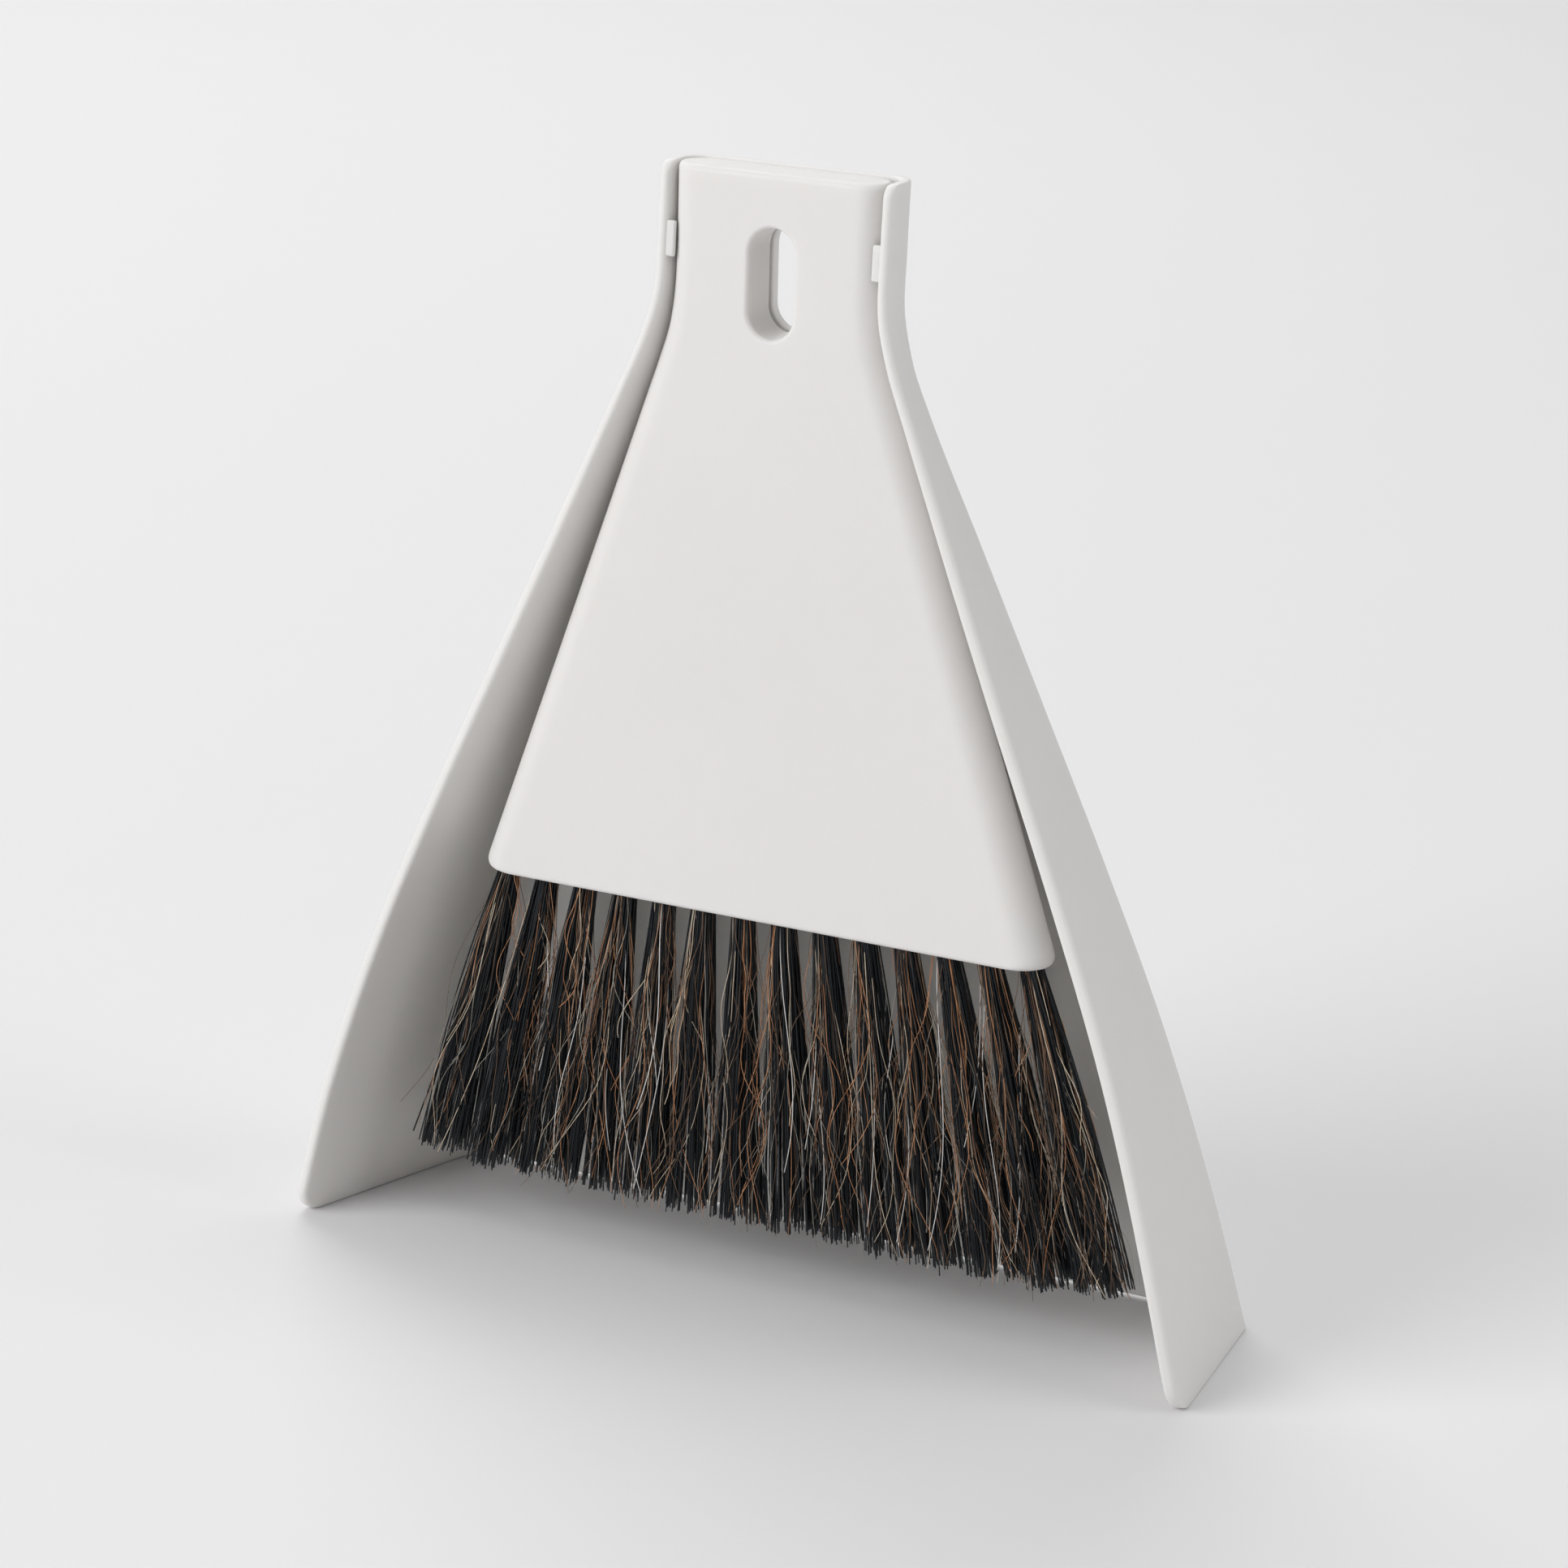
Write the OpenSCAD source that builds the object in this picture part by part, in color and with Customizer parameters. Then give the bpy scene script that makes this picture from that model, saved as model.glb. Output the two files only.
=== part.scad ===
// Desk dustpan and brush set: a bell-shaped pan with a channel handle, and a
// flat brush that stores inside it. Millimetres, +Z up, open side towards -Y.
// The set stands on the lower edges of the pan's side walls.

/* [Pan] */
// Width across the front corners of the feet
pan_w = 160; // [120:1:220]
// Height from the feet to the top rim
pan_h = 173; // [140:1:240]
// Depth from the front corners to the back panel at the feet
pan_d = 38.8; // [30:0.2:60]
// Wall thickness of the moulding
wall = 1.7; // [1.2:0.1:3]
// Outer width of the channel handle
grip_w = 39.9; // [30:0.1:60]
// Outer depth of the channel handle at its top
grip_d = 8.5; // [7:0.1:14]
// Outer corner radius between back panel and side walls
corner_r = 5.6; // [3:0.1:8]
// Radius of the two edges of the front rim
rim_r = 0.8; // [0.2:0.05:0.85]
// Side-view radius of the front corners of the feet
toe_r = 4.6; // [1:0.1:8]
// Side-view radius of the rear corners of the feet
heel_r = 1.2; // [0.5:0.1:4]
// Side-view radius of the front corners of the handle's top
shoulder_r = 2.2; // [0.5:0.1:4]
// Gap between the sweeping lip and the surface the feet stand on
lip_gap = 0.9; // [0:0.1:3]

/* [Hanging slot] */
// Width of the hanging slot
slot_w = 7.9; // [5:0.1:12]
// Overall length of the hanging slot
slot_l = 16.5; // [10:0.5:25]
// Height of the middle of the slot
slot_z = 156.6; // [140:0.1:165]

/* [Snap nibs] */
// Height of the middle of the two nibs
nib_z = 161.6; // [155:0.1:168]
// Length of a nib along the rim
nib_l = 5.2; // [3:0.1:8]
// How far a nib reaches in from the wall
nib_reach = 1.1; // [0.8:0.1:2]
// Thickness of a nib, front to back
nib_t = 0.9; // [0.6:0.1:1.5]

/* [Brush body] */
// Width of the brush across its lower corners
brush_w = 101; // [80:0.2:140]
// Width of the brush handle
brush_grip_w = 35.8; // [28:0.1:50]
// Height of the lower edge of the brush body
brush_z = 59.6; // [45:0.1:80]
// Thickness of the body at its lower edge
brush_t = 8; // [6:0.1:12]
// Thickness of the body at its top
brush_grip_t = 6.5; // [4.5:0.1:7]
// Radius of the two lower corners, front view
brush_corner_r = 2.4; // [1:0.1:8]

/* [Bristles] */
// Number of tufts in the row
tufts = 14; // [8:1:20]
// Spacing of the tufts at the brush body
tuft_pitch = 7.05; // [5:0.05:9]
// Spacing of the tufts at the tips
tip_pitch = 9.25; // [6:0.05:11]
// Diameter of a tuft in its hole
tuft_d = 3.8; // [2.5:0.1:5]
// Width of a tuft at its tips
tip_d = 8.3; // [4:0.1:9]
// Height of the trimmed tips above the surface the feet stand on
tip_z = 9.2; // [2:0.1:20]
// Depth of the blind tuft holes
hole_depth = 5.5; // [4:0.5:7]

/* [Hidden] */
$fn = 48;
mid_y = pan_d / 2;               // half of the depth, to centre the part on Y
top_lean = 17.3;                 // how far the rim's top lies behind the toes
grip_in = pan_d - top_lean - grip_d;  // handle's back, in front of the lower edge
steps = 56;                      // rings along the height of the pan
brush_steps = 44;                // rings along the height of the brush
arc_n = 9;                       // points on each rounded corner of a ring
edge_r = 0.8;                    // softening of the body's end edges
brush_top = pan_h - 0.1;
hole_d = tuft_d + 0.1;
anchor_w = 3.4;                  // anchor plate, across the hole
anchor_h = 1.8;                  // anchor plate, along the hole
anchor_t = 0.4;                  // anchor plate thickness
anchor_fit = 0.02;               // running fit round the plate

// Stations [height, half width] of the pan's front rim
rim_half = [
    [-12, pan_w / 2 + 2.8], [0, pan_w / 2], [24, 73.8], [48, 65.85], [72, 55.9],
    [96, 45.05], [120, 34.25], [138, 26.2], [147, 22.2], [154, 20.2],
    [162, grip_w / 2], [pan_h, grip_w / 2], [pan_h + 12, grip_w / 2]
];
// Stations [height, setback of the rim behind the toes]
rim_set = [
    [-12, 0], [0, 0], [12, 0.4], [24, 1.2], [48, 3.7], [96, 8.8], [138, 13.6],
    [pan_h, top_lean], [pan_h + 12, top_lean + 1.3]
];
// Stations [height, how far the back panel leans in from its lower edge]
panel_in = [
    [-12, -1.18], [0, 0], [70, 6.9], [120, 11.83], [136, grip_in + 0.4],
    [144, grip_in + 0.98], [150, grip_in + 1.06], [157, grip_in + 0.8],
    [165, grip_in + 0.4], [pan_h, grip_in], [pan_h + 12, grip_in - 0.6]
];
// Stations [height, narrowing of the wall from rim to back panel]
wall_flare = [
    [-12, 8.45], [0, 8.1], [24, 7.65], [48, 6.9], [72, 5.85], [96, 4.6], [120, 3.55],
    [132, 3.3], [138, 3.0], [144, 2.4], [150, 1.15], [157, 0.3], [165, 0.1],
    [pan_h, 0], [pan_h + 12, 0]
];
// Stations [height, outer corner radius between back panel and side walls]
corner_at = [
    [-12, corner_r], [0, corner_r], [150, corner_r - 0.5], [165, corner_r - 1.1],
    [pan_h, corner_r - 1.5], [pan_h + 12, corner_r - 1.9]
];
// Stations [height, wall thickness across the section]
wall_at = [
    [-12, wall + 0.4], [0, wall + 0.4], [112, wall + 0.4], [138, wall + 0.15],
    [150, wall], [pan_h, wall], [pan_h + 12, wall]
];
// Stations [height, half width] of the brush body
brush_half = [
    [48, 54.65], [brush_z, brush_w / 2], [72, 46.05], [96, 37.4], [120, 28.8],
    [138, 22.35], [143, 20.55], [148, 18.95], [153, 18.15], [158, brush_grip_w / 2],
    [pan_h, brush_grip_w / 2], [pan_h + 12, brush_grip_w / 2]
];

// Smooth curve through a table of stations
function seg(t, z, i = 1) =
    (i >= len(t) - 2 || z < t[i + 1][0]) ? i : seg(t, z, i + 1);
function slope(t, i) =
    (i <= 0 || i >= len(t) - 1) ? 0 : (t[i + 1][1] - t[i - 1][1]) / (t[i + 1][0] - t[i - 1][0]);
function along(t, z) =
    let (i = z < t[1][0] ? 0 : seg(t, z), h = t[i + 1][0] - t[i][0], u = (z - t[i][0]) / h)
    (2 * pow(u, 3) - 3 * u * u + 1) * t[i][1] + (pow(u, 3) - 2 * u * u + u) * h * slope(t, i)
    + (3 * u * u - 2 * pow(u, 3)) * t[i + 1][1] + (pow(u, 3) - u * u) * h * slope(t, i + 1);

// Pan outline at a height: rim position, back panel position, half widths
function rim_x(z) = along(rim_half, z);
function rim_y(z) = along(rim_set, z) - mid_y;
function back_y(z) = mid_y - along(panel_in, z);
function back_x(z) = rim_x(z) - along(wall_flare, z);
function back_r(z) = along(corner_at, z);
function wall_t(z) = along(wall_at, z);

// Rounded corner between a side wall and the back panel, right-hand side.
// d moves the wall inwards by its thickness.
function wall_dir(z) = atan2(back_x(z) - rim_x(z), back_y(z) - rim_y(z));
function corner(z, d) =
    let (a0 = wall_dir(z), r = back_r(z) - d, n = [cos(a0), -sin(a0)],
         k = [back_x(z), back_y(z)],
         c = [k[0] - (back_r(z) + n[1] * -back_r(z)) / n[0], k[1] - back_r(z)])
    [for (i = [0:arc_n]) let (a = -a0 + (90 + a0) * i / arc_n) c + r * [cos(a), sin(a)]];
// Front rim of the right side wall with its two rounded edges, from inside to outside
function rim_lip(z) =
    let (a0 = wall_dir(z), n = [cos(a0), -sin(a0)], f = [-n[1], n[0]],
         p = [rim_x(z), rim_y(z)] + f * rim_r)
    [for (i = [0:7])
        let (a = i < 4 ? 30 * i : 30 * (i - 1), c = p - n * (i < 4 ? wall_t(z) - rim_r : rim_r))
        c + rim_r * (-n * cos(a) - f * sin(a))];
function flip(p) = [for (i = [len(p) - 1:-1:0]) [-p[i][0], p[i][1]]];
function right_half(z) = let (i = corner(z, wall_t(z))) [for (k = [arc_n:-1:0]) i[k]];
function pan_ring(z) = concat(
    right_half(z), rim_lip(z), corner(z, 0),
    flip(corner(z, 0)), flip(rim_lip(z)), flip(right_half(z)));

// Brush body outline at a height
function brush_mid(z) = 14 + 0.0545 * (z - 58) - mid_y;
function brush_thick(z) = brush_t + (brush_grip_t - brush_t) * (z - brush_z) / (brush_top - brush_z);
function end_in(z, r) =
    let (lo = z - brush_z, hi = brush_top - z, d = min(lo, hi))
    d >= r ? 0 : r - sqrt(max(0, r * r - pow(r - d, 2)));
function low_in(z, r) =
    let (d = z - brush_z) d >= r ? 0 : r - sqrt(max(0, r * r - pow(r - d, 2)));
function brush_side(z) = 4.8 - 1.0 * (z - brush_z) / (brush_top - brush_z);
function brush_ring(z) =
    let (e = end_in(z, edge_r), b = along(brush_half, z) - low_in(z, brush_corner_r) - e * 0.6,
         t = brush_thick(z) / 2 - e, s = brush_side(z))
    [for (i = [0:2 * arc_n + 1])
        let (a = i <= arc_n ? -90 + 180 * i / arc_n : 90 + 180 * (i - arc_n - 1) / arc_n,
             sx = i <= arc_n ? 1 : -1)
        [sx * (b - s) + s * cos(a), brush_mid(z) + t * sin(a)]];

// Solid through a stack of rings with the same number of points
module skin(rings, heights) {
    n = len(rings[0]);
    m = len(rings);
    pts = [for (j = [0:m - 1]) for (p = rings[j]) [p[0], p[1], heights[j]]];
    sides = [for (j = [0:m - 2]) for (i = [0:n - 1])
        let (a = j * n + i, b = j * n + (i + 1) % n) [a, a + n, b + n, b]];
    ends = [[for (i = [0:n - 1]) i], [for (i = [n - 1:-1:0]) (m - 1) * n + i]];
    polyhedron(points = pts, faces = concat(sides, ends), convexity = 6);
}

// Stadium-shaped bar along Y, for the hanging slot
module slot_bar(w, l, y0, y1) {
    translate([0, y1, slot_z])
        rotate([90, 0, 0])
            linear_extrude(height = y1 - y0)
                union() {
                    square([w, l - w], center = true);
                    for (s = [-1, 1])
                        translate([0, s * (l - w) / 2])
                            circle(d = w);
                }
}

// Side view of the pan, with the rounded toes, heels and handle corners
module side_profile() {
    y0 = -mid_y - 1;
    shoulder_y = rim_y(pan_h - shoulder_r) + shoulder_r;
    translate([-pan_w / 2 - 5, 0, 0])
        rotate([90, 0, 90])
            linear_extrude(height = pan_w + 10)
                difference() {
                    translate([y0, 0])
                        square([pan_d + 2, pan_h]);
                    difference() {
                        translate([y0 - 1, -1])
                            square([toe_r + 2, toe_r + 1]);
                        translate([-mid_y + toe_r, toe_r])
                            circle(r = toe_r);
                    }
                    difference() {
                        translate([y0, pan_h - shoulder_r])
                            square([shoulder_y - y0, shoulder_r + 1]);
                        translate([shoulder_y, pan_h - shoulder_r])
                            circle(r = shoulder_r);
                    }
                    difference() {
                        translate([mid_y - heel_r, -1])
                            square([heel_r + 3, heel_r + 1]);
                        translate([mid_y - heel_r, heel_r])
                            circle(r = heel_r);
                    }
                }
}

// Space under the sweeping lip, and the bevel on its inner face
module lip_relief() {
    half = back_x(0) - corner_r - 1;
    translate([0, mid_y + 5, 0])
        rotate([90, 0, 0])
            linear_extrude(height = 20)
                polygon([[-half - 2, -1], [-half, lip_gap], [half, lip_gap], [half + 2, -1]]);
}

module nib(side) {
    y = rim_y(nib_z) + 0.25;
    x = rim_x(nib_z) - wall;
    x0 = side > 0 ? x - nib_reach : -x - 0.6;
    lean = atan2(rim_y(nib_z + nib_l) - rim_y(nib_z - nib_l), 2 * nib_l);
    translate([x0, y, nib_z])
        rotate([-lean, 0, 0])
            translate([0, 0, -nib_l / 2])
                cube([nib_reach + 0.6, nib_t, nib_l]);
}

module pan() {
    hs = [for (i = [0:steps]) -2 + (pan_h + 4) * i / steps];
    color([0.88, 0.87, 0.85])
        difference() {
            union() {
                intersection() {
                    skin([for (z = hs) pan_ring(z)], hs);
                    side_profile();
                }
                for (s = [-1, 1])
                    nib(s);
            }
            slot_bar(slot_w, slot_l, back_y(slot_z) - 6, back_y(slot_z) + 6);
            lip_relief();
        }
}

// Position of tuft number i along the row, at the body and at the tips
function tuft_x(i) = (i - (tufts - 1) / 2) * tuft_pitch;
function tip_x(i) = (i - (tufts - 1) / 2) * tip_pitch;
tuft_y = brush_mid(brush_z);
function anchor_z() = brush_z + hole_depth - anchor_h;

module anchor_plate(i, fit) {
    translate([tuft_x(i), tuft_y, anchor_z() + anchor_h / 2 + fit])
        cube([anchor_w + 0.8 + 2 * fit, anchor_t + 2 * fit, anchor_h + 2 * fit], center = true);
}

module brush_body() {
    core = [for (i = [0:brush_steps]) brush_z + 4 + (brush_top - brush_z - 5) * i / brush_steps];
    low = [for (i = [0:7]) brush_z + 4 * pow(i / 8, 2)];
    high = [for (i = [4:-1:0]) brush_top - 1 * pow(i / 5, 2)];
    hs = concat(low, core, high);
    color([0.89, 0.88, 0.86])
        difference() {
            skin([for (z = hs) brush_ring(z)], hs);
            slot_bar(slot_w, slot_l, -mid_y, mid_y + 10);
            for (i = [0:tufts - 1]) {
                translate([tuft_x(i), tuft_y, brush_z - 1])
                    cylinder(d = hole_d, h = hole_depth + 1);
                anchor_plate(i, anchor_fit);
            }
        }
}

// One bundle of filaments: the part in the hole, then the spreading fan
module tuft(i) {
    lean = atan2(tip_x(i) - tuft_x(i), brush_z - tip_z);
    reach = (brush_z - tip_z) / cos(lean) + 4;
    collar = 1.4;
    color([0.13, 0.12, 0.12])
        difference() {
            intersection() {
                union() {
                    translate([tuft_x(i), tuft_y, brush_z - collar])
                        cylinder(d = tuft_d, h = hole_depth + collar - 0.02);
                    translate([tuft_x(i), tuft_y, brush_z - 0.3])
                        rotate([0, 180 - lean, 0])
                            cylinder(r1 = tuft_d / 2 - 0.15, r2 = tip_d / 2 + 0.2, h = reach);
                }
                translate([-pan_w / 2, -pan_d, tip_z])
                    cube([pan_w, 2 * pan_d, pan_h]);
            }
            anchor_plate(i, anchor_fit);
        }
}

// Metal plates that hold the folded filaments in their holes
module tuft_anchors() {
    color([0.72, 0.72, 0.70])
        for (i = [0:tufts - 1])
            anchor_plate(i, 0);
}

pan();
brush_body();
tuft_anchors();
tuft(0);  // tuft_01
tuft(1);  // tuft_02
tuft(2);  // tuft_03
tuft(3);  // tuft_04
tuft(4);  // tuft_05
tuft(5);  // tuft_06
tuft(6);  // tuft_07
tuft(7);  // tuft_08
tuft(8);  // tuft_09
tuft(9);  // tuft_10
tuft(10);  // tuft_11
tuft(11);  // tuft_12
tuft(12);  // tuft_13
tuft(13);  // tuft_14
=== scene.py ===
import itertools
import math

import bmesh
import bpy
import numpy as np
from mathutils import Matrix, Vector


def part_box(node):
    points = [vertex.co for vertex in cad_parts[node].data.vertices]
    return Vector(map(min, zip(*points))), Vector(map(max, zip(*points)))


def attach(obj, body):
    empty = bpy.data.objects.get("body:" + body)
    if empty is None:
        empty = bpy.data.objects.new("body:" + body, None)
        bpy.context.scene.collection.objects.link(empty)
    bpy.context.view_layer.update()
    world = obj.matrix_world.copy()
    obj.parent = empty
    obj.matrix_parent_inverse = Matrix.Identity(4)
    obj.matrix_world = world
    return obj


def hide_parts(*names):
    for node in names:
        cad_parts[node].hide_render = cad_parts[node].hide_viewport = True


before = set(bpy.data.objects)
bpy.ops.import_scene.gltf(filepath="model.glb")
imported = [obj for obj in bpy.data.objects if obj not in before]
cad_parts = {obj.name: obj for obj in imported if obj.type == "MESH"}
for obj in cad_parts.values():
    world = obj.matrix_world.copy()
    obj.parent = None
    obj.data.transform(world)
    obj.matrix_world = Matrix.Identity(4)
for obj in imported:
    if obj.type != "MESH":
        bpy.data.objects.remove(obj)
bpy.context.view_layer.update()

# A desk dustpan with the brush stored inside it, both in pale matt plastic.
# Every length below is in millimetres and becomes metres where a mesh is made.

MM = 0.001


def mm_box(node):
    """Lowest and highest corner of a CAD node, in millimetres."""
    low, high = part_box(node)
    return np.array(low) / MM, np.array(high) / MM


PAN_LOW, PAN_HIGH = mm_box("pan")
BODY_LOW, BODY_HIGH = mm_box("brush_body")

# Pan
PAN_H = PAN_HIGH[2]
MID_Y = 19.4        # from the front of the feet back to the origin
TOE_R = 4.6
RIM_R = 0.8
SHOULDER_R = 2.2
LIP_GAP = 0.9
LIP_RISE = 6.0      # height over which the raised lip fades into the back panel
LIP_REACH = 1.0     # how far the raised lip runs past the start of the corner
END_R = 0.42        # softening of the pan's cut ends
NIB_Z = 161.6
NIB_SIZE = (1.65, 0.8, 5.4)
NIB_ROOT = 0.4      # the part of a nib that is buried in the wall
NIB_SET = 0.35      # how far a nib sits behind the front of the rim
NIB_EDGE = 0.32

# Hanging slot
SLOT_W = 7.9
SLOT_L = 16.5
SLOT_Z = 156.6

# Brush body
BRUSH_Z = BODY_LOW[2]
BRUSH_TOP = BODY_HIGH[2]
BRUSH_T = 8.0
BRUSH_TOP_T = 6.5
BRUSH_CORNER_R = 2.4
BRUSH_END_R = 0.8
BRUSH_SIDE = 4.8    # width of a rounded side at the foot, 1 mm less at the top
BRUSH_FOOT = (58, 14)       # a height, and the depth of the middle plane there
BRUSH_LEAN = 0.0545         # step back of the middle plane for each step up
HOLE_DEPTH = 5.5
HOLE_PLAY = 0.05    # room around a tuft in its hole
HOLE_POINTS = 16

# Bristles
TUFTS = 14
TUFT_PITCH = 7.05
TIP_PITCH = 9.12
TUFT_R = 1.9
TIP_Z = mm_box("tuft_07")[0][2]     # the tips of a middle tuft

# Stations [height, size], the same ones that shape the CAD sections
RIM_HALF = [
    (-12, 82.8), (0, 80), (24, 73.8), (48, 65.85), (72, 55.9), (96, 45.05),
    (120, 34.25), (138, 26.2), (147, 22.2), (154, 20.2), (162, 19.95), (173, 19.95),
    (185, 19.95),
]
RIM_SET = [
    (-12, 0), (0, 0), (12, 0.4), (24, 1.2), (48, 3.7), (96, 8.8), (138, 13.6),
    (173, 17.3), (185, 18.6),
]
PANEL_IN = [
    (-12, -1.18), (0, 0), (70, 6.9), (120, 11.83), (136, 13.4), (144, 13.98),
    (150, 14.06), (157, 13.8), (165, 13.4), (173, 13.0), (185, 12.4),
]
WALL_FLARE = [
    (-12, 8.45), (0, 8.1), (24, 7.65), (48, 6.9), (72, 5.85), (96, 4.6), (120, 3.55),
    (132, 3.3), (138, 3.0), (144, 2.4), (150, 1.15), (157, 0.3), (165, 0.1),
    (173, 0), (185, 0),
]
CORNER_AT = [(-12, 5.6), (0, 5.6), (150, 5.1), (165, 4.5), (173, 4.1), (185, 3.7)]
WALL_AT = [
    (-12, 2.1), (0, 2.1), (112, 2.1), (138, 1.85), (150, 1.7), (173, 1.7), (185, 1.7),
]
BRUSH_HALF = [
    (48, 54.65), (59.6, 50.5), (72, 46.05), (96, 37.4), (120, 28.8), (138, 22.35),
    (143, 20.55), (148, 18.95), (153, 18.15), (158, 17.9), (173, 17.9), (185, 17.9),
]


# ---------------------------------------------------------------- curves and sections

def along(stations, z):
    """Smooth curve through a table of stations."""
    last = len(stations) - 1
    i = max(0, min(last - 1, sum(z >= s[0] for s in stations) - 1))

    def slope(k):
        if k <= 0 or k >= last:
            return 0
        (z0, v0), (z1, v1) = stations[k - 1], stations[k + 1]
        return (v1 - v0) / (z1 - z0)

    h = stations[i + 1][0] - stations[i][0]
    u = (z - stations[i][0]) / h
    return (
        (2 * u**3 - 3 * u**2 + 1) * stations[i][1] + (u**3 - 2 * u**2 + u) * h * slope(i)
        + (3 * u**2 - 2 * u**3) * stations[i + 1][1] + (u**3 - u**2) * h * slope(i + 1)
    )


def arc(centre, radius, start, end, count):
    """Points of an arc between two angles in degrees."""
    return [
        np.array([centre[0] + radius * math.cos(a), centre[1] + radius * math.sin(a)])
        for a in np.radians(np.linspace(start, end, count))
    ]


def rounding(distance, radius):
    """Inset of an edge rounded with a radius, at a distance from the end."""
    return 0.0 if distance >= radius else radius - math.sqrt(radius**2 - (radius - distance) ** 2)


def front_limit(z):
    """How far forward the side walls reach: their toes and shoulders are rounded."""
    shoulder = along(RIM_SET, PAN_H - SHOULDER_R) - MID_Y
    if z > PAN_H - SHOULDER_R:
        return shoulder + rounding(PAN_H - z, SHOULDER_R)
    return -MID_Y + rounding(z, TOE_R)


ARC_POINTS = 13
LIP_POINTS = 12
SUPPORT = 0.6       # distance of the extra edge loops that keep flat faces flat
RAMP = 2.6          # where the raised lip starts, in from the corner


def pan_half_section(z, inset):
    """Right half of the pan's section, from the inner middle round the rim to the outer
    middle. The inset thins the wall evenly, for the softened ends."""
    rim = np.array([along(RIM_HALF, z), along(RIM_SET, z) - MID_Y])
    back = np.array([rim[0] - along(WALL_FLARE, z), MID_Y - along(PANEL_IN, z)])
    lean = math.atan2(back[0] - rim[0], back[1] - rim[1])
    out = np.array([math.cos(lean), -math.sin(lean)])
    rear = np.array([math.sin(lean), math.cos(lean)])
    radius = along(CORNER_AT, z)
    wall = along(WALL_AT, z)
    centre = np.array([back[0] - radius * (1 - out[1]) / out[0], back[1] - radius])
    rim = rim + rear * max(0.0, front_limit(z) - rim[1]) / rear[1]
    side = math.degrees(-lean)
    inner = arc(centre, radius - wall + inset, 90, side, ARC_POINTS)
    outer = arc(centre, radius - inset, side, 90, ARC_POINTS)
    turn = math.degrees(math.atan2(-out[1], -out[0]))
    front = rim + rear * RIM_R
    lip = arc(front - out * (wall - RIM_R), RIM_R - inset, turn, turn + 90, LIP_POINTS // 2)
    lip += arc(front - out * RIM_R, RIM_R - inset, turn + 90, turn + 180, LIP_POINTS // 2)
    ramps = [np.array([-RAMP, 0.0]), np.array([-SUPPORT, 0.0])]
    return (
        [inner[0] + s for s in ramps] + inner
        + [inner[-1] - rear * SUPPORT, lip[0] + rear * SUPPORT] + lip
        + [lip[-1] + rear * SUPPORT, outer[0] - rear * SUPPORT]
        + outer + [outer[-1] + s for s in reversed(ramps)]
    )


def mirrored(half):
    """The half outline and its mirror image, as one closed outline."""
    return half + [np.array([-p[0], p[1]]) for p in reversed(half)]


def lip_lift(x, z):
    """How far the sweeping lip is raised at a place near the pan's lower edge."""
    edge = along(RIM_HALF, 0) - along(WALL_FLARE, 0) - along(CORNER_AT, 0)
    side = min(1.0, max(0.0, (edge + LIP_REACH - abs(x)) / (RAMP - SUPPORT)))
    return LIP_GAP * side * max(0.0, 1 - z / LIP_RISE)


def end_stations(radius):
    """Heights and insets that round an end, from the end inwards."""
    turns = np.radians(np.linspace(0, 90, 5))
    return [(radius * (1 - math.cos(t)), radius * (1 - math.sin(t))) for t in turns]


def pan_rings():
    """Sections of the pan from the table up, close together at its rounded ends."""
    low = end_stations(END_R)
    toe = [(h, 0.0) for h in (0.8, 1.2, 1.8, 2.5, 3.3, 4.2, 5.2, 6.4, 8.0)]
    middle = [(h, 0.0) for h in np.linspace(9.8, PAN_H - 3.0, 104)]
    middle += [(PAN_H - h, 0.0) for h in (2.2, 1.7, 1.2, 0.8)]
    high = [(PAN_H - h, inset) for h, inset in reversed(end_stations(END_R))]
    rings = []
    for z, inset in low + toe + middle + high:
        outline = mirrored(pan_half_section(z, inset))
        deep = [min(max(p[1], PAN_LOW[1]), PAN_HIGH[1]) for p in outline]
        rings.append([(p[0], y, z + lip_lift(p[0], z)) for p, y in zip(outline, deep)])
    return rings


def pan_cap(count):
    """Faces that close the U-shaped end of the pan, paired across the wall."""
    half = count // 2
    strip = (half - LIP_POINTS) // 2
    faces = [(0, half - 1, half, count - 1)]
    faces.append(tuple(range(strip - 1, half - strip + 1)))
    for j in range(strip - 1):
        faces.append((j, j + 1, half - 2 - j, half - 1 - j))
    mirror = [tuple(count - 1 - i for i in reversed(f)) for f in faces[1:]]
    return faces + mirror


def brush_mid(z):
    """Middle plane of the brush, which leans back with the pan."""
    return BRUSH_FOOT[1] + BRUSH_LEAN * (z - BRUSH_FOOT[0]) - MID_Y


def brush_section(z):
    """Outline of the brush body: flat faces and softly rounded sides."""
    share = (z - BRUSH_Z) / (BRUSH_TOP - BRUSH_Z)
    end = rounding(min(z - BRUSH_Z, BRUSH_TOP - z), BRUSH_END_R)
    half = along(BRUSH_HALF, z) - rounding(z - BRUSH_Z, BRUSH_CORNER_R) - 0.6 * end
    thick = (BRUSH_T + (BRUSH_TOP_T - BRUSH_T) * share) / 2 - end
    side = BRUSH_SIDE - share
    mid = brush_mid(z)
    right = [
        np.array([half - side + side * math.cos(t), mid + thick * math.sin(t)])
        for t in np.radians(np.linspace(-90, 90, 25))
    ]
    step = np.array([SUPPORT, 0.0])
    return mirrored([right[0] - step] + right + [right[-1] - step])


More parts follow.
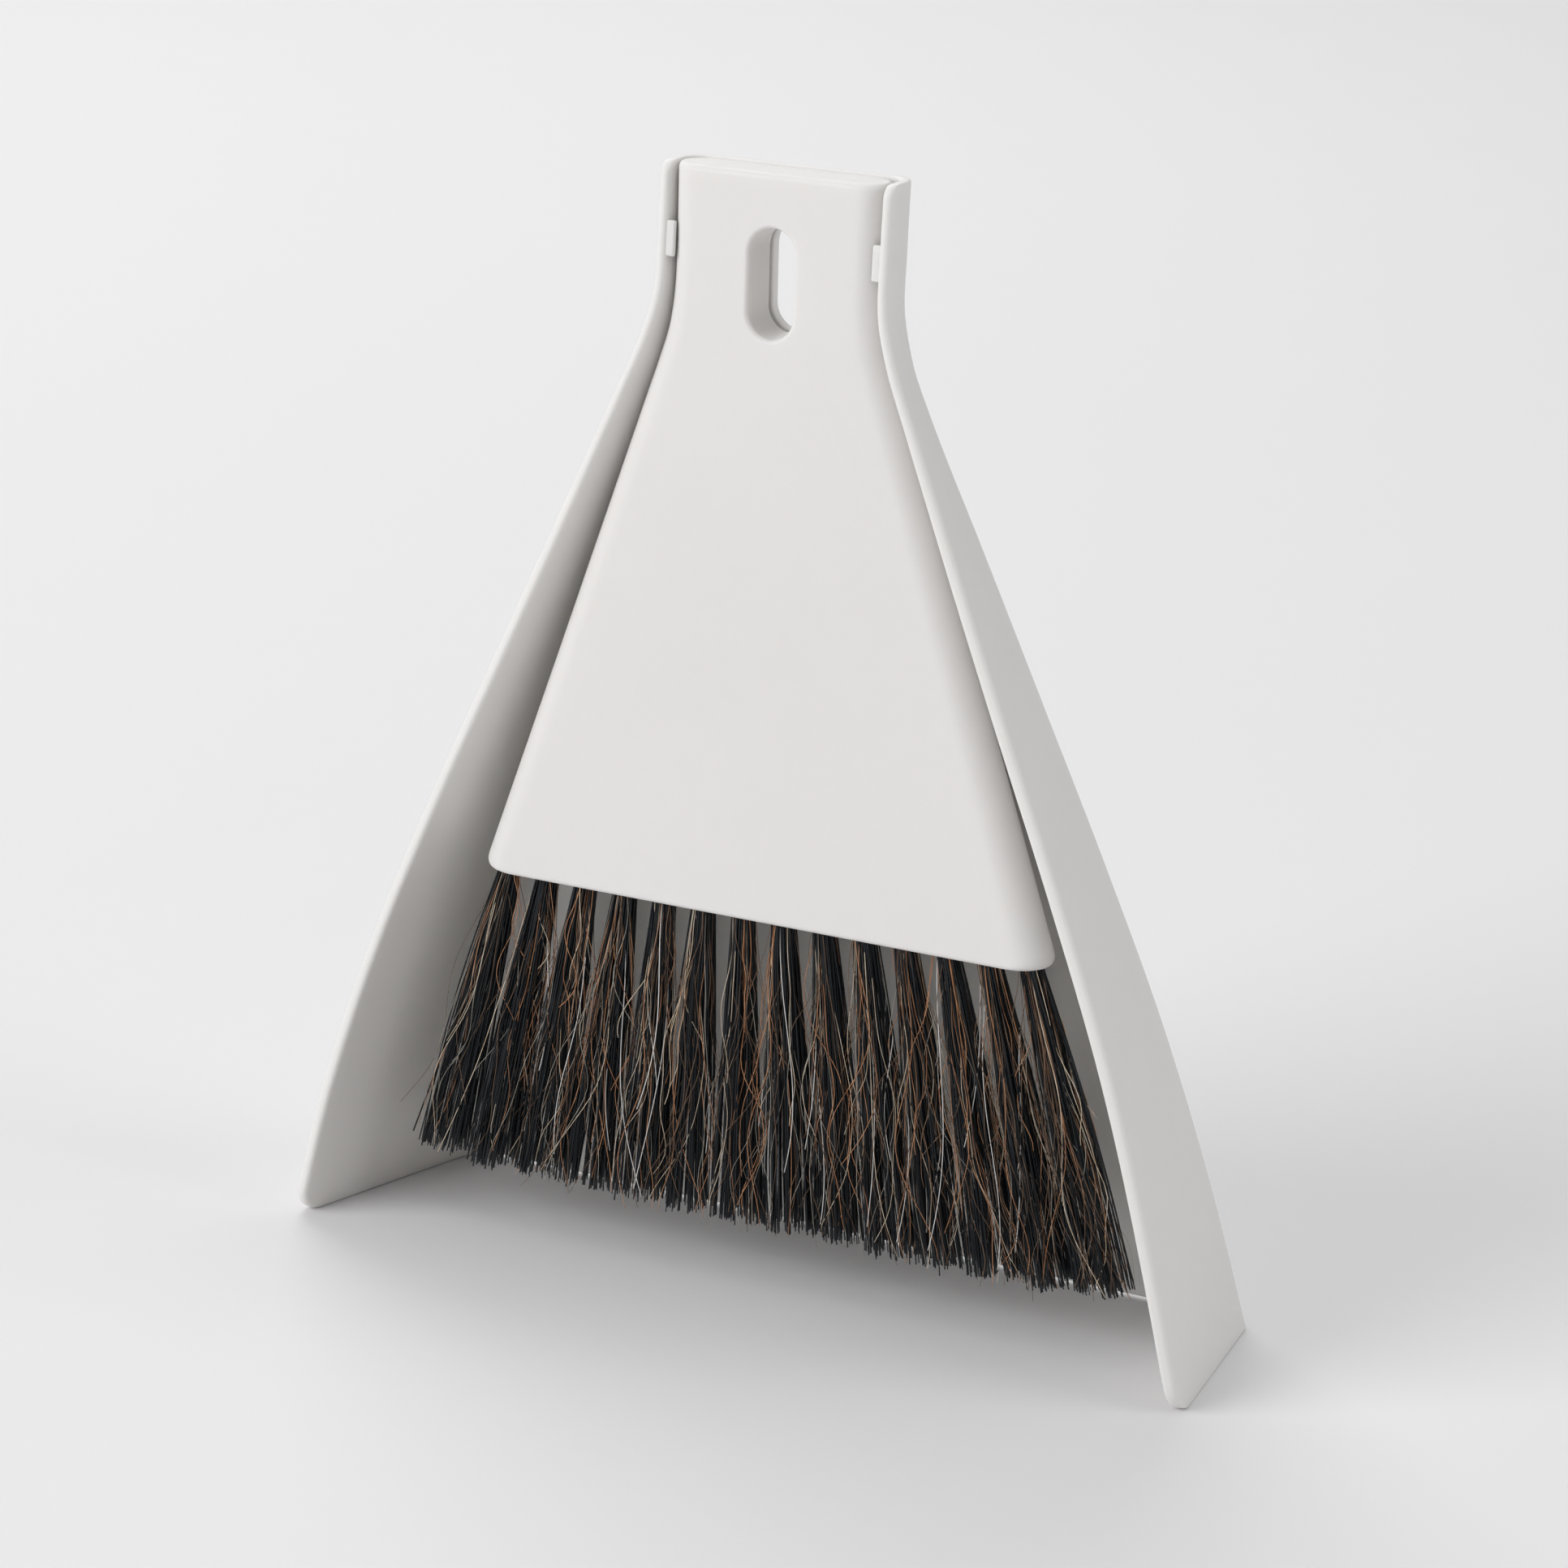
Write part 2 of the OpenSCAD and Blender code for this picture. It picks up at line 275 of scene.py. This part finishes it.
def brush_rings():
    """Sections of the brush body, close together at its rounded ends."""
    low = [BRUSH_Z + 4 * (i / 12) ** 2 for i in range(12)]
    core = list(np.linspace(BRUSH_Z + 4, BRUSH_TOP - 1, 72))
    high = [BRUSH_TOP - (i / 6) ** 2 for i in range(5, -1, -1)]
    return [[(p[0], p[1], z) for p in brush_section(z)] for z in low + core + high]


# ---------------------------------------------------------------- mesh helpers

SHARP_ANGLE = 38    # degrees; an edge that turns more than this is drawn crisp


def new_object(name, verts, faces):
    """A mesh object from points in millimetres, with its faces turned outwards."""
    mesh = bpy.data.meshes.new(name)
    mesh.from_pydata([tuple(c * MM for c in v) for v in verts], [], faces)
    shape = bmesh.new()
    shape.from_mesh(mesh)
    bmesh.ops.recalc_face_normals(shape, faces=shape.faces)
    shape.to_mesh(mesh)
    shape.free()
    piece = bpy.data.objects.new(name, mesh)
    bpy.context.scene.collection.objects.link(piece)
    return piece


def loft(name, rings, cap):
    """A closed solid through rings with the same number of points."""
    n = len(rings[0])
    top = (len(rings) - 1) * n
    faces = [
        (j * n + i, j * n + (i + 1) % n, (j + 1) * n + (i + 1) % n, (j + 1) * n + i)
        for j in range(len(rings) - 1) for i in range(n)
    ]
    faces += list(cap)
    faces += [tuple(top + i for i in reversed(f)) for f in cap]
    return new_object(name, [p for ring in rings for p in ring], faces)


def apply_modifiers(piece):
    """Keeps the mesh that the modifiers make, and drops them."""
    seen = piece.evaluated_get(bpy.context.evaluated_depsgraph_get())
    piece.data = bpy.data.meshes.new_from_object(seen)
    piece.modifiers.clear()


def combine(piece, tool, operation):
    """Adds or cuts a closed tool shape, then removes the tool."""
    step = piece.modifiers.new("combine", "BOOLEAN")
    step.solver = "EXACT"
    step.operation = operation
    step.object = tool
    bpy.context.view_layer.update()
    apply_modifiers(piece)
    bpy.data.objects.remove(tool)


def soften_edges(piece, width, inside, segments=3):
    """Rounds the sharp edges whose two ends lie inside a region."""
    shape = bmesh.new()
    shape.from_mesh(piece.data)
    bmesh.ops.remove_doubles(shape, verts=shape.verts, dist=1e-6)
    edges = [
        e for e in shape.edges
        if e.is_manifold and e.calc_face_angle() > math.radians(50)
        and all(inside(v.co / MM) for v in e.verts)
    ]
    bmesh.ops.bevel(
        shape, geom=edges, offset=width * MM, offset_type="OFFSET", segments=segments,
        profile=0.5, affect="EDGES", clamp_overlap=False,
    )
    shape.to_mesh(piece.data)
    shape.free()


def smooth_shading(piece):
    """Smooth faces, crisp edges, and flat panels that stay flat."""
    piece.data.shade_smooth()
    piece.data.set_sharp_from_angle(angle=math.radians(SHARP_ANGLE))
    even = piece.modifiers.new("even_normals", "WEIGHTED_NORMAL")
    even.keep_sharp = True
    even.weight = 90


def slot_tool():
    """Stadium-shaped bar through the handle."""
    r = SLOT_W / 2
    straight = SLOT_L / 2 - r
    outline = arc((0, straight), r, 0, 180, 33) + arc((0, -straight), r, 180, 360, 33)
    rings = [[(p[0], y, SLOT_Z + p[1]) for p in outline] for y in (-MID_Y, MID_Y + 5)]
    return loft("slot_tool", rings, [tuple(range(len(outline)))])


def on_slot(point):
    """True on the wall of the hanging slot."""
    r = SLOT_W / 2
    straight = SLOT_L / 2 - r
    along_z = max(-straight, min(straight, point.z - SLOT_Z))
    return abs(math.hypot(point.x, point.z - SLOT_Z - along_z) - r) < 0.05


def nib_tool(side):
    """Small rounded plate on the inner rim that holds the brush."""
    x = along(RIM_HALF, NIB_Z) - along(WALL_AT, NIB_Z)
    y = along(RIM_SET, NIB_Z) - MID_Y + NIB_SET
    rise = along(RIM_SET, NIB_Z + 5) - along(RIM_SET, NIB_Z - 5)
    lean = math.atan2(rise, 10)
    corners = []
    for i, j, k in itertools.product((0, 1), (0, 1), (-0.5, 0.5)):
        deep, high = j * NIB_SIZE[1], k * NIB_SIZE[2]
        corners.append((
            side * (x + NIB_ROOT + (i - 1) * NIB_SIZE[0]),
            y + deep * math.cos(lean) + high * math.sin(lean),
            NIB_Z + high * math.cos(lean) - deep * math.sin(lean),
        ))
    faces = [
        (0, 1, 3, 2), (4, 6, 7, 5), (0, 4, 5, 1), (2, 3, 7, 6), (0, 2, 6, 4), (1, 5, 7, 3),
    ]
    nib = new_object("nib_tool", corners, faces)
    soften_edges(nib, NIB_EDGE, lambda p: True)
    return nib


def hole_tool(x):
    """Straight bar the size of one blind tuft hole."""
    y = brush_mid(BRUSH_Z)
    last = 360 - 360 / HOLE_POINTS
    outline = arc((x, y), TUFT_R + HOLE_PLAY, 0, last, HOLE_POINTS)
    rings = [[(p[0], p[1], z) for p in outline] for z in (BRUSH_Z - 2, BRUSH_Z + HOLE_DEPTH)]
    return loft("hole_tool", rings, [tuple(range(HOLE_POINTS))])


def tuft_x(i):
    """Place of a tuft along the brush body."""
    return (i - (TUFTS - 1) / 2) * TUFT_PITCH


def tip_x(i):
    """Place of a tuft's tips, which fan out."""
    return (i - (TUFTS - 1) / 2) * TIP_PITCH


# ---------------------------------------------------------------- materials

def material(name):
    """A new node material, with its node tree and its Principled shader."""
    made = bpy.data.materials.new(name)
    made.use_nodes = True
    return made, made.node_tree, made.node_tree.nodes["Principled BSDF"]


def noise(tree, scale, detail, stretch=(1, 1, 1)):
    """Noise in object coordinates; the scale counts cells in a metre."""
    place = tree.nodes.new("ShaderNodeTexCoord")
    mapping = tree.nodes.new("ShaderNodeMapping")
    mapping.inputs["Scale"].default_value = stretch
    texture = tree.nodes.new("ShaderNodeTexNoise")
    texture.inputs["Scale"].default_value = scale
    texture.inputs["Detail"].default_value = detail
    tree.links.new(place.outputs["Object"], mapping.inputs["Vector"])
    tree.links.new(mapping.outputs["Vector"], texture.inputs["Vector"])
    return texture.outputs["Fac"]


def ramp(tree, source, low, high, start=0.3, end=0.7):
    """Turns a noise value into a colour between two colours."""
    node = tree.nodes.new("ShaderNodeValToRGB")
    node.color_ramp.elements[0].position = start
    node.color_ramp.elements[0].color = (*low, 1)
    node.color_ramp.elements[1].position = end
    node.color_ramp.elements[1].color = (*high, 1)
    tree.links.new(source, node.inputs["Fac"])
    return node.outputs["Color"]


def between(tree, source, low, high):
    """Maps a noise value to a range."""
    node = tree.nodes.new("ShaderNodeMapRange")
    node.inputs["From Min"].default_value = 0.3
    node.inputs["From Max"].default_value = 0.7
    node.inputs["To Min"].default_value = low
    node.inputs["To Max"].default_value = high
    tree.links.new(source, node.inputs["Value"])
    return node.outputs["Result"]


def bump(tree, source, depth, below=None):
    """Fine relief, with its depth in metres."""
    node = tree.nodes.new("ShaderNodeBump")
    node.inputs["Strength"].default_value = 1.0
    node.inputs["Distance"].default_value = depth
    tree.links.new(source, node.inputs["Height"])
    if below is not None:
        tree.links.new(below, node.inputs["Normal"])
    return node.outputs["Normal"]


def plastic(name, tint):
    """Pale plastic moulded in a fine spark-eroded tool."""
    made, tree, shader = material(name)
    tone = ramp(
        tree, noise(tree, 14, 4), tuple(0.975 * c for c in tint), tint, 0.35, 0.65
    )
    tree.links.new(tone, shader.inputs["Base Color"])
    tree.links.new(between(tree, noise(tree, 260, 2), 0.44, 0.56), shader.inputs["Roughness"])
    grain = bump(tree, noise(tree, 4200, 2), 0.000012)
    waves = bump(tree, noise(tree, 60, 1), 0.00002, grain)
    tree.links.new(waves, shader.inputs["Normal"])
    shader.inputs["Specular IOR Level"].default_value = 0.4
    shader.inputs["Subsurface Weight"].default_value = 0.3
    shader.inputs["Subsurface Radius"].default_value = (1.0, 0.94, 0.84)
    shader.inputs["Subsurface Scale"].default_value = 0.0025
    return made


def hair(name, dark, light, roughness, shine=0.55):
    """One kind of bristle, with its colour changing along and between hairs."""
    made, tree, shader = material(name)
    tone = ramp(tree, noise(tree, 900, 2, (1, 1, 0.12)), dark, light, 0.32, 0.68)
    tree.links.new(tone, shader.inputs["Base Color"])
    low, high = roughness
    tree.links.new(between(tree, noise(tree, 500, 2), low, high), shader.inputs["Roughness"])
    shader.inputs["Specular IOR Level"].default_value = shine
    return made


def steel():
    """Plain drawn steel of the plates in the tuft holes."""
    made, tree, shader = material("anchor_steel")
    grain = noise(tree, 3000, 2, (0.1, 1, 1))
    tone = ramp(tree, grain, (0.52, 0.52, 0.5), (0.68, 0.68, 0.66))
    tree.links.new(tone, shader.inputs["Base Color"])
    tree.links.new(between(tree, grain, 0.28, 0.42), shader.inputs["Roughness"])
    shader.inputs["Metallic"].default_value = 1.0
    return made


def paper_floor():
    """Matt, nearly white studio paper."""
    made, tree, shader = material("studio_floor")
    tone = ramp(tree, noise(tree, 1.5, 2), (0.82, 0.815, 0.82), (0.83, 0.825, 0.83))
    tree.links.new(tone, shader.inputs["Base Color"])
    tree.links.new(between(tree, noise(tree, 40, 2), 0.7, 0.8), shader.inputs["Roughness"])
    shader.inputs["Specular IOR Level"].default_value = 0.2
    return made


# ---------------------------------------------------------------- pan and brush body

def make_pan():
    """The pan, with its hanging slot and its two nibs."""
    rings = pan_rings()
    pan = loft("pan_shell", rings, pan_cap(len(rings[0])))
    combine(pan, slot_tool(), "DIFFERENCE")
    soften_edges(pan, 0.3, on_slot)
    for side in (-1, 1):
        combine(pan, nib_tool(side), "UNION")
    smooth_shading(pan)
    pan.data.materials.clear()
    pan.data.materials.append(plastic("pan_plastic", (0.775, 0.763, 0.747)))
    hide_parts("pan")
    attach(pan, "pan")


def make_brush_body():
    """The brush body, with its hanging slot and its tuft holes."""
    rings = brush_rings()
    body = loft("brush_shell", rings, [tuple(range(len(rings[0])))])
    combine(body, slot_tool(), "DIFFERENCE")
    soften_edges(body, 0.7, on_slot, 4)
    for i in range(TUFTS):
        combine(body, hole_tool(tuft_x(i)), "DIFFERENCE")
    smooth_shading(body)
    body.data.materials.clear()
    body.data.materials.append(plastic("brush_plastic", (0.775, 0.758, 0.745)))
    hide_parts("brush_body")
    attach(body, "brush")


# ---------------------------------------------------------------- bristles

FILAMENT, BROWN, RUST, TAN, GREY, WHITE = range(6)
HAIR_SHARES = [(BROWN, 0.42), (RUST, 0.25), (TAN, 0.17), (GREY, 0.16)]
RADII = {FILAMENT: 0.14, BROWN: 0.06, RUST: 0.065, TAN: 0.062, GREY: 0.05, WHITE: 0.08}
POINTS = 26
FILAMENTS_PER_TUFT = 120
HAIRS_PER_TUFT = (16, 42)     # at the left end; two more for each tuft to the right
STRAYS_PER_TUFT = 5
FLYAWAYS = 9        # curls beyond each end of the row
HAIR_ROOT = 2.0     # how far up its hole a hair starts
ROW_REACH = 68.5    # hairs stay this close to the middle of the row
ROW_FRONT = 7.5     # and this far in from the front of the pan
ROW_BACK = 16       # and this far in from its back


def disc(rng, count, least=0.0):
    """Random points spread evenly over a disc, or over its outer ring."""
    turn = rng.uniform(0, 2 * math.pi, count)
    reach = np.sqrt(rng.uniform(least, 1, count))
    return np.stack([reach * np.cos(turn), reach * np.sin(turn)], axis=1)


def trim_height(x):
    """Height of the trimmed edge, which rises a little at both ends of the row."""
    return TIP_Z + 0.3 + 2.0 * np.minimum(1.0, np.abs(x) / 66) ** 6


def roots(i, place):
    """Where hairs leave the hole, for places on a disc of radius 1."""
    middle = np.array([tuft_x(i), brush_mid(BRUSH_Z)])
    flat = middle + place * (TUFT_R - 0.2)
    return np.column_stack([flat, np.full(len(place), BRUSH_Z + HAIR_ROOT)])


def descend(root, drop, slopes):
    """Paths that come down from the roots by a set drop, with a sideways slope each step."""
    share = np.linspace(0, 1, POINTS)
    paths = np.zeros((len(root), POINTS, 3))
    for axis in (0, 1):
        slope = slopes[axis]
        travel = np.cumsum((slope[:, 1:] + slope[:, :-1]) / 2, axis=1) / (POINTS - 1)
        paths[:, 1:, axis] = travel * drop[:, None]
        paths[:, :, axis] += root[:, axis, None]
    paths[:, :, 2] = root[:, 2, None] - drop[:, None] * share
    return paths


def sway(rng, count, size, cycles, growth=0.4):
    """Random waves in the slope of each hair, which grow along it."""
    share = np.linspace(0, 1, POINTS)
    height = rng.uniform(*size, count)[:, None]
    turns = rng.uniform(*cycles, count)[:, None]
    start = rng.uniform(0, 2 * math.pi, count)[:, None]
    return height * np.sin(2 * math.pi * turns * share + start) * share**growth


def filament_paths(rng, i):
    """Straight black filaments of one tuft, gathered in a few loose clumps."""
    count = FILAMENTS_PER_TUFT
    place = disc(rng, count)
    root = roots(i, place)
    clumps = disc(rng, 6)
    nearest = np.argmin(((place[:, None] - clumps[None]) ** 2).sum(2), axis=1)
    spread = place + (clumps[nearest] - place) * 0.25
    tip_at = np.column_stack([tip_x(i) + spread[:, 0] * 4.9, root[:, 1] + spread[:, 1] * 2.0])
    tip_at += np.clip(0.35 * rng.standard_t(2.5, (count, 2)), -3, 3)
    lift = rng.uniform(-0.2, 0.5, 6)[nearest] + np.abs(rng.normal(0, 0.5, count))
    drop = root[:, 2] - np.maximum(TIP_Z, trim_height(tip_at[:, 0]) + lift)
    share = np.linspace(0, 1, POINTS)[None, :]
    slopes = []
    for axis in (0, 1):
        mean = (tip_at - root[:, :2])[:, axis, None] / drop[:, None]
        early = rng.uniform(-0.15, 0.3, count)[:, None]
        bend = mean * (1 + early - 2 * early * share)
        slopes.append(bend + sway(rng, count, (0, 0.03), (0.4, 1.2)))
    return descend(root, drop, slopes)


def hair_paths(rng, i):
    """Finer wavy hairs on the outside of the tuft, which cross into its neighbours."""
    count = rng.randint(*HAIRS_PER_TUFT) + 2 * i
    place = disc(rng, count, 0.1)
    root = roots(i, 0.9 * place)
    full = BRUSH_Z + HAIR_ROOT - trim_height(tip_x(i))
    drop = full * rng.uniform(0.93, 1.01, count) * (1 - 0.6 * rng.uniform(0, 1, count) ** 4)
    fan = (tip_x(i) - tuft_x(i)) / full
    waves = sway(rng, count, (0.1, 0.7), (0.7, 2.2), 1.1)
    waves += sway(rng, count, (0.0, 0.34), (2.5, 5), 0.9)
    across = fan + 0.08 * place[:, 0, None] + rng.normal(0, 0.035, count)[:, None] + waves
    forward = 0.08 * place[:, 1, None] - 0.015 + sway(rng, count, (0.0, 0.16), (0.7, 2.0))
    return descend(root, drop, [across, forward])


def stray_paths(rng, i):
    """A few long curls that leave the row."""
    count = STRAYS_PER_TUFT
    place = disc(rng, count, 0.6)
    place[:, 1] = -np.abs(place[:, 1])
    root = roots(i, place)
    drop = rng.uniform(14, 38, count)
    across = sway(rng, count, (0.3, 1.0), (0.7, 1.6), 0.8) + rng.normal(0, 0.08, count)[:, None]
    forward = rng.uniform(-0.10, -0.02, count)[:, None] + sway(rng, count, (0.0, 0.1), (0.5, 1.5))
    return descend(root, drop, [across, forward])


def flyaway_paths(rng, i):
    """Curls that stand out beyond the first and the last tuft."""
    count = FLYAWAYS if i in (0, TUFTS - 1) else 0
    side = np.sign(tip_x(i))
    place = disc(rng, count, 0.3)
    place[:, 0] = side * np.abs(place[:, 0])
    root = roots(i, place)
    drop = rng.uniform(22, 50, count)
    lean = side * rng.uniform(0.22, 0.42, count)[:, None]
    across = lean + sway(rng, count, (0.1, 0.6), (0.6, 1.5), 0.7)
    forward = sway(rng, count, (0.0, 0.15), (0.5, 1.5)) - 0.04
    return descend(root, drop, [across, forward])


def white_paths(rng, i):
    """Up to three thicker pale hairs with a gentle bend."""
    count = rng.randint(0, 4)
    root = roots(i, disc(rng, count))
    root[:, 2] -= rng.uniform(0, 18, count)
    drop = rng.uniform(0.5, 0.95, count) * (root[:, 2] - trim_height(tip_x(i)))
    across = 0.08 * rng.normal(0, 1, count)[:, None] + sway(rng, count, (0.08, 0.30), (0.4, 1.0))
    forward = sway(rng, count, (0.0, 0.05), (0.5, 1.0)) - 0.12
    return descend(root, drop, [across, forward])


def keep_inside(paths):
    """Holds every hair inside the pan and above the lowest tips."""
    paths[:, :, 0] = np.clip(paths[:, :, 0], -ROW_REACH, ROW_REACH)
    paths[:, :, 1] = np.clip(paths[:, :, 1], -MID_Y + ROW_FRONT, MID_Y - ROW_BACK)
    paths[:, :, 2] = np.maximum(paths[:, :, 2], TIP_Z)
    return paths


def tubes(paths, radii):
    """Points and faces of a closed thin square tube along each path."""
    sides = 4
    count, length = paths.shape[:2]
    run = np.gradient(paths, axis=1)
    run /= np.linalg.norm(run, axis=2, keepdims=True)
    across = np.cross(run, np.array([0.0, 1.0, 0.0]))
    across /= np.linalg.norm(across, axis=2, keepdims=True)
    front = np.cross(across, run)
    turn = 2 * math.pi * np.arange(sides) / sides
    taper = radii[:, None] * np.linspace(1.0, 0.8, length)
    ring = across[:, :, None] * np.cos(turn)[:, None] + front[:, :, None] * np.sin(turn)[:, None]
    points = (paths[:, :, None] + taper[:, :, None, None] * ring).reshape(-1, 3)
    base = np.arange(count)[:, None, None] * length * sides
    step = np.arange(length - 1)[None, :, None] * sides
    k = np.arange(sides)[None, None]
    a, b = base + step + k, base + step + (k + 1) % sides
    walls = np.stack([a, b, b + sides, a + sides], axis=-1).reshape(count, -1, 4)
    first = base[:, 0] + np.arange(sides)[::-1]
    last = base[:, 0] + (length - 1) * sides + np.arange(sides)
    faces = np.concatenate([walls, first[:, None], last[:, None]], axis=1)
    return points, faces


def make_bristles(i, materials):
    """One tuft: filaments, hairs, curls and pale hairs, which ride on the brush."""
    rng = np.random.RandomState(100 + i)
    black, fine = filament_paths(rng, i), hair_paths(rng, i)
    stray = np.concatenate([stray_paths(rng, i), flyaway_paths(rng, i)])
    pale = white_paths(rng, i)
    paths = keep_inside(np.concatenate([black, fine, stray, pale]))
    names, shares = zip(*HAIR_SHARES)
    hairs = rng.choice(names, len(fine) + len(stray), p=shares)
    kinds = np.concatenate([np.full(len(black), FILAMENT), hairs, np.full(len(pale), WHITE)])
    radii = np.array([RADII[k] for k in kinds]) * rng.uniform(0.8, 1.2, len(kinds))
    points, faces = tubes(paths, radii)
    name = f"bristles_{i + 1:02d}"
    mesh = bpy.data.meshes.new(name)
    mesh.from_pydata((points * MM).tolist(), [], faces.reshape(-1, 4).tolist())
    mesh.polygons.foreach_set("material_index", np.repeat(kinds, faces.shape[1]))
    mesh.shade_smooth()
    for made in materials:
        mesh.materials.append(made)
    piece = bpy.data.objects.new(name, mesh)
    bpy.context.scene.collection.objects.link(piece)
    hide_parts(f"tuft_{i + 1:02d}")
    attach(piece, "brush")


def bristle_materials():
    """The materials of the six kinds of hair, in the order of their numbers."""
    return [
        hair("filament_black", (0.002, 0.003, 0.004), (0.012, 0.017, 0.022), (0.26, 0.4), 0.38),
        hair("hair_brown", (0.075, 0.044, 0.026), (0.25, 0.145, 0.085), (0.25, 0.4)),
        hair("hair_rust", (0.32, 0.125, 0.052), (0.72, 0.36, 0.18), (0.25, 0.4)),
        hair("hair_tan", (0.58, 0.43, 0.28), (0.92, 0.80, 0.64), (0.25, 0.4)),
        hair("hair_grey", (0.20, 0.185, 0.155), (0.52, 0.49, 0.42), (0.25, 0.4)),
        hair("hair_white", (0.80, 0.78, 0.75), (0.93, 0.92, 0.90), (0.25, 0.4)),
    ]


# ---------------------------------------------------------------- studio

VIEW_AZIMUTH = 31.43
VIEW_ELEVATION = 16.92
CAMERA_PLACE = (0.4358, -0.7126, 0.3331)
CAMERA_LENS = 132.35
FLOOR_REACH = 6.0   # metres from the middle to each side
SKY_STRENGTH = 0.29

# Name, place, target, size in metres and power in watts
LAMPS = [
    ("overhead", (0, 0, 1.8), (0, 0, 0.05), (1.6, 1.6), 6.4),
    ("rear_left", (-1.1, 1.1, 1.3), (0, 0, 0.05), (1.2, 1.2), 13),
    ("front_left", (-1.3, -1.9, 1.2), (0, 0, 0.08), (2.0, 1.6), 43),
    ("right", (2.1, 0.3, 1.0), (0, 0, 0.08), (1.2, 1.2), 11.8),
]


def make_floor():
    size = FLOOR_REACH
    mesh = bpy.data.meshes.new("floor")
    corners = [(-size, -size, 0), (size, -size, 0), (size, size, 0), (-size, size, 0)]
    mesh.from_pydata(corners, [], [(0, 1, 2, 3)])
    mesh.materials.append(paper_floor())
    floor = bpy.data.objects.new("floor", mesh)
    bpy.context.scene.collection.objects.link(floor)


def soft_light(name, place, target, size, power):
    """A white rectangular lamp that faces its target."""
    data = bpy.data.lights.new(name, "AREA")
    data.shape = "RECTANGLE"
    data.size, data.size_y = size
    data.energy = power
    light = bpy.data.objects.new(name, data)
    light.location = place
    aim = Vector(target) - Vector(place)
    light.rotation_mode = "QUATERNION"
    light.rotation_quaternion = aim.to_track_quat("-Z", "Y")
    bpy.context.scene.collection.objects.link(light)


def make_lights():
    """A dim pale world and four soft lamps."""
    world = bpy.data.worlds.new("studio")
    world.use_nodes = True
    sky = world.node_tree.nodes["Background"]
    sky.inputs["Color"].default_value = (1.0, 0.995, 1.0, 1)
    sky.inputs["Strength"].default_value = SKY_STRENGTH
    bpy.context.scene.world = world
    for lamp in LAMPS:
        soft_light(*lamp)


def make_camera():
    """A long lens, a little to the right of the front and above."""
    azimuth, elevation = math.radians(VIEW_AZIMUTH), math.radians(VIEW_ELEVATION)
    back = Vector((
        math.sin(azimuth) * math.cos(elevation),
        -math.cos(azimuth) * math.cos(elevation),
        math.sin(elevation),
    ))
    data = bpy.data.cameras.new("camera")
    data.sensor_width = 36
    data.lens = CAMERA_LENS
    data.clip_start, data.clip_end = 0.01, 50
    camera = bpy.data.objects.new("camera", data)
    camera.location = CAMERA_PLACE
    camera.rotation_mode = "QUATERNION"
    camera.rotation_quaternion = (-back).to_track_quat("-Z", "Y")
    bpy.context.scene.collection.objects.link(camera)
    bpy.context.scene.camera = camera


def paint_anchors():
    """The anchor plates keep their CAD shape and only get their steel."""
    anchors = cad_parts["tuft_anchors"]
    anchors.data.materials.clear()
    anchors.data.materials.append(steel())


make_camera()
make_floor()
make_lights()
make_pan()
make_brush_body()
BRISTLE_MATERIALS = bristle_materials()
for number in range(TUFTS):
    make_bristles(number, BRISTLE_MATERIALS)
paint_anchors()
bpy.context.scene.view_settings.view_transform = "Standard"
